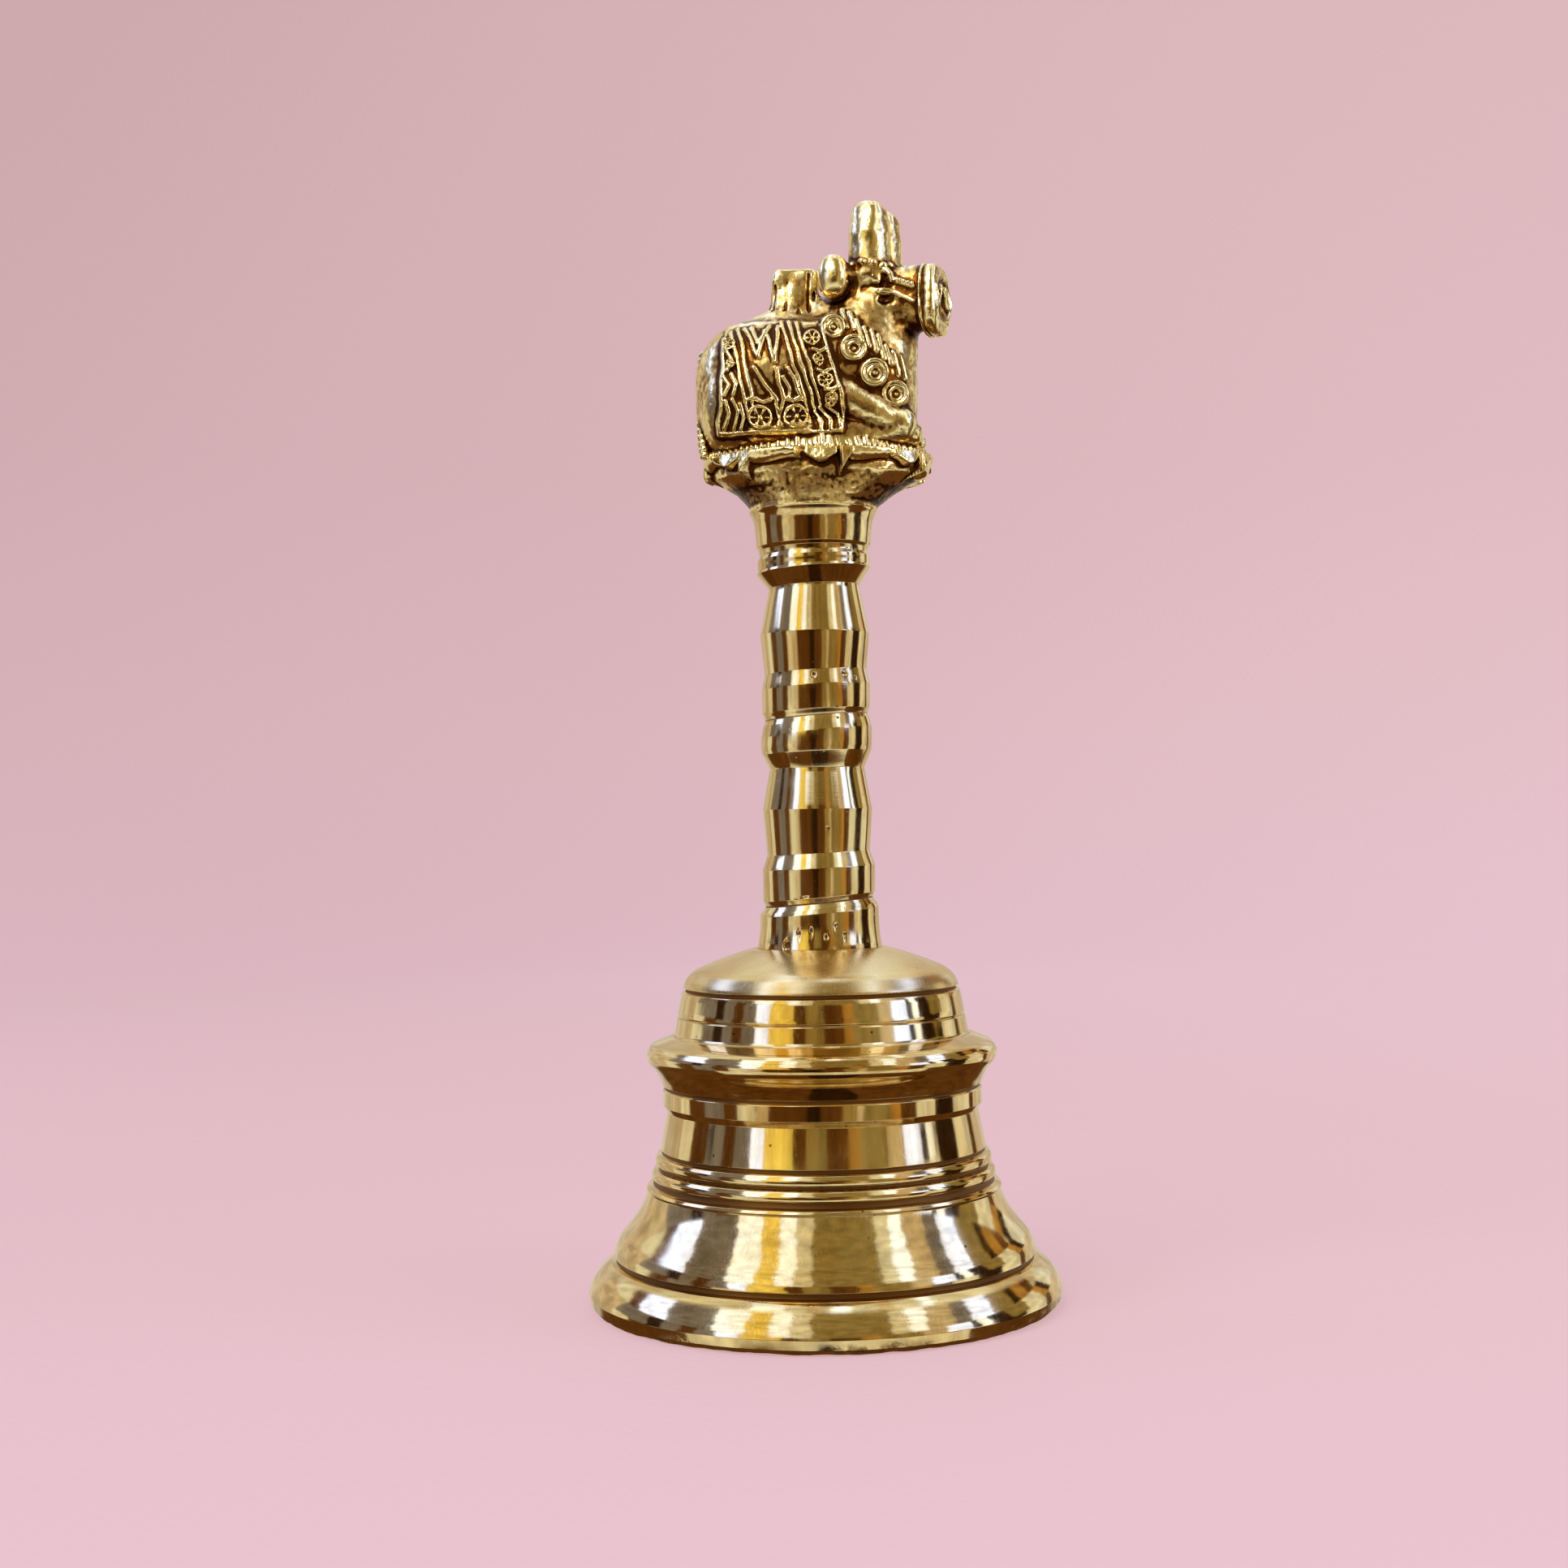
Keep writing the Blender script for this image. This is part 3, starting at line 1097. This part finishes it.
def brass_antique():
    """Cast brass with its hollows left dark and its high places rubbed bright."""
    n = Finish("antique_brass_carved")
    fine, broad = n.attribute("proud_fine"), n.attribute("proud_broad")
    mottle = n.grain(1.1, 5.0, sharp=0.65)
    streak = n.grain(0.8, 3.0, (1.6, 1.6, 0.3), 0.6)
    worn = n.scaled(mottle, 0.55, n.scaled(broad, 0.8, fine))
    worn = n.scaled(streak, 0.25, worn)
    height = n.times(n.height(), 1 / MM)
    low = n.band(height, SEAT_Z + 5.6, SEAT_Z + 3.4)
    worn = n.scaled(low, -0.40, worn)
    head = n.band(height, SEAT_Z + 29.0, SEAT_Z + 37.0)
    worn = n.scaled(head, -0.14, worn)
    high = n.band(worn, 0.34, 0.82)
    deep = n.band(worn, -0.15, 0.24)
    cloud = n.grain(6.0, 3.0, distortion=0.6)
    body = n.blend(n.band(cloud, 0.35, 0.65), CAST_DEEP, CAST)
    colour = n.blend(deep, SOOT, n.blend(n.band(mottle, 0.3, 0.62), TARNISH, body))
    colour = n.blend(high, colour, CAST_WORN)
    shine = n.scaled(high, -0.16, 0.36)
    shine = n.scaled(n.band(mottle, 0.35, 0.7), -0.06, shine)
    sand = n.grain(0.3, 3.0, sharp=0.6)
    n.bumps(((mottle, 0.4, 0.10), (sand, 0.3, 0.05), (streak, 0.25, 0.08)))
    return n.finish(colour, shine)


def zinc_steel():
    """Plated steel, dulled and spotted with rust."""
    n = Finish("zinc_steel_plated")
    cloud = n.grain(1.6, 4.0, sharp=0.6)
    colour = n.blend(n.band(n.spots(0.9), 0.2, 0.7), ZINC, ZINC_DARK)
    colour = n.blend(n.times(n.band(cloud, 0.56, 0.7), 0.8), colour, RUST)
    n.bumps(((cloud, 0.3, 0.05), (n.grain(0.2, 3.0), 0.15, 0.02)))
    return n.finish(colour, n.scaled(cloud, 0.3, 0.2))


def wire_brass():
    """Drawn brass wire with die lines and dull spots."""
    n = Finish("wire_brass_drawn")
    lines = n.grain(0.12, 3.0, (1.0, 1.0, 0.08), 0.6)
    cloud = n.grain(1.8, 4.0, sharp=0.6)
    colour = n.blend(n.band(cloud, 0.35, 0.7), BRASS_DEEP, BRASS)
    colour = n.blend(n.band(cloud, 0.62, 0.75), colour, TARNISH)
    n.bumps(((lines, 0.2, 0.02), (cloud, 0.2, 0.05)))
    return n.finish(colour, n.scaled(cloud, 0.35, 0.12))


def ball_brass():
    """The striker: brass dented and rubbed where it meets the bell."""
    n = Finish("ball_brass_struck")
    dents = n.band(n.spots(1.7), 0.12, 0.4)
    cloud = n.grain(3.2, 4.0, distortion=0.7)
    colour = n.blend(n.band(cloud, 0.35, 0.7), BRASS_DEEP, BRASS)
    colour = n.blend(n.times(n.band(cloud, 0.6, 0.75), 0.7), colour, TARNISH)
    n.bumps(((dents, 0.3, 0.08), (n.grain(0.3, 3.0), 0.2, 0.03)))
    return n.finish(colour, n.scaled(cloud, 0.3, 0.1))


def wear(piece, material):
    piece.data.materials.clear()
    piece.data.materials.append(material)


# The cup's hollow is under this height, and its faces look in or straight down.
HOLLOW_TOP = 56 * MM
FACING_IN = -0.2
FACING_DOWN = -0.85


def mark_hidden(piece):
    """Stores 1 in the cup's hollow and 0 on its polished outside."""
    normals, co = per_vertex(piece, "normal"), per_vertex(piece, "co")
    reach = np.hypot(co[:, 0], co[:, 1])
    outward = (normals[:, 0] * co[:, 0] + normals[:, 1] * co[:, 1]) / np.maximum(reach, 1e-6)
    unseen = (outward < FACING_IN) | (normals[:, 2] < FACING_DOWN)
    hidden = unseen & (co[:, 2] < HOLLOW_TOP)
    keep(piece, "hidden", hidden)


# ---- camera, light and stage

TARGET = Vector((0, 0, 0.0743))
CAMERA_AWAY = 0.332
CAMERA_LENS = 46.6
CAMERA_PITCH = 1.58
CAMERA_YAW = 0.94
CAMERA_ROLL = -0.9


def make_camera():
    lens = bpy.data.cameras.new("camera")
    lens.lens = CAMERA_LENS
    lens.clip_start = 0.01
    camera = bpy.data.objects.new("camera", lens)
    bpy.context.scene.collection.objects.link(camera)
    pitch, yaw, roll = (radians(a) for a in (CAMERA_PITCH, CAMERA_YAW, CAMERA_ROLL))
    turn = Matrix.Rotation(yaw, 4, "Z") @ Matrix.Rotation(pi / 2 + pitch, 4, "X")
    place = Matrix.Translation(TARGET + Vector((0, -CAMERA_AWAY, 0)))
    camera.matrix_world = place @ turn @ Matrix.Rotation(roll, 4, "Z")
    bpy.context.scene.camera = camera


# The studio that the metal mirrors, in the tones that brass shows it in: soft white windows and
# lamps, warm walls and cards, and the dark gaps between them.
TONES = {
    "window": (244, 246, 255), "lamp": (255, 250, 224), "cream": (228, 206, 146),
    "sand": (202, 170, 110), "gold": (255, 212, 84), "amber": (176, 120, 42),
    "olive": (142, 112, 50), "stone": (124, 108, 84), "brown": (92, 52, 14), "dark": (44, 22, 4),
}
# Walls, from the lowest, by where their patches start: a bearing in degrees, 0 at the front and +
# towards +X. Each is blended into the next over a band of heights, as the rise of a line of sight.
FOOT_WALL = [
    (-180, "sand"), (-122, "cream"), (-108, "brown"), (-92, "stone"), (-74, "brown"), (-62, "cream"),
    (-48, "sand"), (-38, "brown"), (-14, "dark"), (0, "brown"), (13, "olive"), (22, "sand"),
    (28, "olive"), (48, "amber"), (56, "brown"), (70, "cream"), (86, "dark"), (106, "cream"),
    (128, "brown"), (136, "sand"),
]
LOW_WALL = [
    (-180, "sand"), (-120, "stone"), (-95, "dark"), (-85, "stone"), (-75, "brown"), (-65, "stone"),
    (-54, "window"), (-42, "gold"), (-22, "brown"), (-13, "olive"), (2, "brown"), (16, "amber"),
    (24, "olive"), (46, "sand"), (58, "window"), (74, "dark"), (78, "lamp"), (84, "dark"),
    (98, "olive"), (112, "cream"), (128, "amber"), (136, "dark"), (142, "cream"), (156, "sand"),
]
# Above the walls, patches start at the bearing of the leaning face that mirrors them forwards.
UPPER_ROOM = [
    (-90, "sand"), (-72, "cream"), (-56, "brown"), (-51, "window"), (-41, "stone"), (-28, "lamp"),
    (-19, "gold"), (-14, "lamp"), (-9, "cream"), (-4, "olive"), (15, "cream"), (19, "lamp"),
    (24, "sand"), (31, "stone"), (36, "window"), (43, "olive"), (50, "dark"), (54, "amber"),
    (58, "brown"), (62, "sand"),
]
CEILING = [
    (-90, "sand"), (-48, "cream"), (-20, "lamp"), (-11, "cream"), (-5, "sand"), (1, "lamp"),
    (6, "cream"), (13, "sand"), (17, "cream"), (24, "lamp"), (28, "cream"), (48, "sand"),
]
# The floor, near the walls' foot and in its middle.
NEAR_FLOOR = [(-180, "brown"), (-75, "cream"), (75, "brown")]
ROOM_FLOOR = [(-180, "brown"), (-12, "dark"), (30, "brown")]
FOOT_HEIGHT = (0.10, 0.13)
LOW_HEIGHT = (0.34, 0.38)
CEILING_LEAN = (0.60, 0.70)
FLOOR_LEVEL = (-0.28, -0.34)
FLOOR_MIDDLE = (-0.56, -0.66)
EDGE_DRIFT = 0.030
SHADE = (0.72, 1.28)
LAMP_BOOST = 1.35
ROOM_STRENGTH = 0.92


def mirrored(name):
    """The light that brass shows in a tone from 0 to 255; windows and lamps are far brighter."""
    light = []
    for part, metal in zip(TONES[name], BRASS):
        part = part / 255
        light.append((part / 12.92 if part < 0.04 else ((part + 0.055) / 1.055) ** 2.4) / metal)
    boost = LAMP_BOOST if name in ("window", "lamp") else 1.0
    return (*(part * boost for part in light), 1)


class Room(Tree):
    """The world's node tree: a room to mirror."""

    def ring(self, turn, patches, reach):
        """Patches by their starts from -reach to reach degrees, as turn runs from 0 to 1."""
        made = self.tree.nodes.new("ShaderNodeValToRGB")
        self.wire(turn, made.inputs[0])
        made.color_ramp.interpolation = "CONSTANT"
        stops = made.color_ramp.elements
        stops.remove(stops[1])
        stops[0].position = 0.0
        stops[0].color = mirrored(patches[0][1])
        for start, name in patches[1:]:
            stop = stops.new(0.5 + 0.5 * start / reach)
            stop.color = mirrored(name)
        return made.outputs[0]

    def cloud(self, towards, scale, detail):
        return self.node("ShaderNodeTexNoise", inputs=(
            ("Vector", towards), ("Scale", scale), ("Detail", detail)))

    def turn(self, east, ahead, drift):
        """The bearing from the front as 0 to 1 round a full circle, with ragged edges."""
        bearing = self.math("ARCTAN2", east, ahead)
        return self.math("ADD", self.scaled(bearing, 0.5 / pi, 0.5), drift)


def make_world():
    world = bpy.data.worlds.new("room")
    bpy.context.scene.world = world
    world.use_nodes = True
    room = Room(world.node_tree)
    towards = room.tree.nodes.new("ShaderNodeTexCoord").outputs["Generated"]
    split = room.tree.nodes.new("ShaderNodeSeparateXYZ")
    room.wire(towards, split.inputs[0])
    east, north, up = split.outputs
    drift = room.scaled(room.cloud(towards, 5.0, 5.0), EDGE_DRIFT, -0.5 * EDGE_DRIFT)
    around = room.turn(east, room.times(north, -1.0), drift)
    face = room.turn(east, room.math("SUBTRACT", 1.0, north), room.times(drift, 0.35))
    face = room.scaled(face, 2.0, -0.5)
    span = room.math("SQRT", room.scaled(north, -2.0, 2.001))
    lean = room.math("DIVIDE", up, span)
    level = room.math("ADD", up, room.times(drift, 1.2))
    upper = room.blend(room.band(lean, *CEILING_LEAN), room.ring(face, UPPER_ROOM, 90),
                       room.ring(face, CEILING, 90))
    colour = room.blend(room.band(level, *FOOT_HEIGHT), room.ring(around, FOOT_WALL, 180),
                        room.ring(around, LOW_WALL, 180))
    colour = room.blend(room.band(level, *LOW_HEIGHT), colour, upper)
    floor = room.blend(room.band(up, *FLOOR_MIDDLE), room.ring(around, NEAR_FLOOR, 180),
                       room.ring(around, ROOM_FLOOR, 180))
    colour = room.blend(room.band(level, *FLOOR_LEVEL), colour, floor)
    shade = room.band(room.cloud(towards, 9.0, 4.0), 0.25, 0.75, *SHADE)
    backdrop = room.tree.nodes["Background"]
    grey = room.tree.nodes.new("ShaderNodeCombineColor")
    for socket in grey.inputs[:3]:
        room.wire(shade, socket)
    room.wire(room.blend(1.0, colour, grey.outputs[0], "MULTIPLY"), backdrop.inputs["Color"])
    backdrop.inputs["Strength"].default_value = ROOM_STRENGTH


LAMP_AIM = Vector((0, 0, 0.09))


def area_light(name, place, size, power, colour, lit=()):
    """A soft lamp. One that lights only some pieces is also mirrored by them."""
    lamp = bpy.data.lights.new(name, "AREA")
    lamp.shape = "RECTANGLE"
    lamp.size, lamp.size_y = size
    lamp.energy = power
    lamp.color = colour
    lamp.use_shadow = True
    thing = bpy.data.objects.new(name, lamp)
    bpy.context.scene.collection.objects.link(thing)
    thing.visible_glossy = bool(lit)
    if lit:
        thing.light_linking.receiver_collection = bpy.data.collections.new(name + "_lit")
    for piece in lit:
        thing.light_linking.receiver_collection.objects.link(piece)
    thing.location = place
    thing.rotation_euler = (LAMP_AIM - Vector(place)).to_track_quat("-Z", "Y").to_euler()


def make_lights(carvings):
    area_light("key", (-0.45, -0.45, 0.75), (0.5, 0.5), 4.0, (1.0, 0.96, 0.92))
    area_light("fill", (0.60, -0.20, 0.45), (0.4, 0.4), 1.2, (1.0, 0.93, 0.88))
    area_light("glint", (-0.25, -0.50, 0.60), (0.16, 0.16), 2.2, (1.0, 0.97, 0.90), lit=carvings)
    area_light("rim_glint", (0.55, -0.35, 0.30), (0.12, 0.2), 1.0, (1.0, 0.97, 0.90), lit=carvings)


FLOOR_Z = cad_box[0][2] - 0.0002
FLOOR_RADIUS = 0.85
DOME_HEIGHT = 1.1
WALL_CURVE = 0.35
STAGE_RINGS = 40
STAGE_SEGMENTS = 96
GLOW_LEFT = (0.51, 0.325, 0.335, 1)
GLOW_RIGHT = (0.61, 0.41, 0.425, 1)
CLOTH_DARK = (0.18, 0.115, 0.125, 1)
CLOTH_PALE = (0.23, 0.16, 0.175, 1)
RIB_GAP = 1.6


def see_through(n):
    """Clears the cloth for a view from beneath it."""
    clear = n.node("ShaderNodeBsdfTransparent")
    behind = n.node("ShaderNodeNewGeometry", output="Backfacing")
    shown = n.node("ShaderNodeMixShader", inputs=(
        (0, behind), (1, n.shader.outputs[0]), (2, clear)))
    n.wire(shown, n.tree.nodes["Material Output"].inputs["Surface"])


def make_stage():
    """A pale floor that sweeps up all round into a wall and closes overhead."""
    radii, heights = [], []
    for k in range(STAGE_RINGS + 1):
        t = k / STAGE_RINGS
        if t < 0.4:
            radii.append(max(FLOOR_RADIUS * t / 0.4, 1e-4))
            heights.append(0.0)
        elif t < 0.7:
            a = (t - 0.4) / 0.3 * pi / 2
            radii.append(FLOOR_RADIUS + WALL_CURVE * sin(a))
            heights.append(WALL_CURVE * (1 - cos(a)))
        else:
            a = (t - 0.7) / 0.3 * pi / 2
            radii.append(max((FLOOR_RADIUS + WALL_CURVE) * cos(a), 1e-4))
            heights.append(WALL_CURVE + DOME_HEIGHT * sin(a))
    angle = np.arange(STAGE_SEGMENTS) * 2 * pi / STAGE_SEGMENTS
    radii, heights = np.array(radii)[:, None], np.array(heights)[:, None]
    verts = np.stack([radii * np.cos(angle), radii * np.sin(angle),
                      np.broadcast_to(heights + FLOOR_Z, (len(radii), len(angle)))], 2).reshape(-1, 3)
    quads = lathe_quads(STAGE_RINGS + 1, STAGE_SEGMENTS, False)
    floor = mesh_piece("floor", verts, quads[:, ::-1])
    soften(floor, weighted=False)
    for ray in ("glossy", "diffuse", "transmission", "shadow"):
        setattr(floor, "visible_" + ray, False)
    n = Finish("pale_cloth")
    n.shader.inputs["Metallic"].default_value = 0.0
    n.shader.inputs["Specular IOR Level"].default_value = 0.1
    n.shader.inputs["Emission Strength"].default_value = 1.0
    split = n.tree.nodes.new("ShaderNodeSeparateXYZ")
    n.wire(n.place, split.inputs[0])
    glow = n.blend(n.band(split.outputs[0], -0.7, 0.7), GLOW_LEFT, GLOW_RIGHT)
    n.wire(glow, n.shader.inputs["Emission Color"])
    cloud = n.grain(900.0, 1.0)
    weave = n.grain(0.9, 2.0)
    colour = n.blend(n.band(cloud, 0.2, 0.8), CLOTH_DARK, CLOTH_PALE)
    ribs = n.node("ShaderNodeTexWave", inputs=(
        ("Vector", n.place), ("Scale", 0.314 / (RIB_GAP * MM)), ("Distortion", 0.6)),
        output=1, bands_direction="DIAGONAL")
    n.bumps(((weave, 0.1, 0.1), (ribs, 0.25, 0.2)))
    n.finish(colour, 0.9)
    see_through(n)
    wear(floor, n.material)


# ---- the scene

make_camera()
make_world()
make_stage()

cup = make_cup()
mark_hidden(cup)
wear(cup, brass_cup())
wear(make_grip(), brass_grip())
antique = brass_antique()
carvings = make_finial()
for carving in carvings:
    wear(carving, antique)
make_lights(carvings)
plated = zinc_steel()
for part in ("finial_stud", "clapper_eyebolt", "crown_washer", "crown_nut"):
    wear(nodes[part], plated)
drawn = wire_brass()
for part in ("clapper_link", "clapper_rod"):
    wear(nodes[part], drawn)
wear(nodes["clapper_ball"], ball_brass())

scene = bpy.context.scene
scene.view_settings.view_transform = "Standard"
scene.view_settings.look = "None"
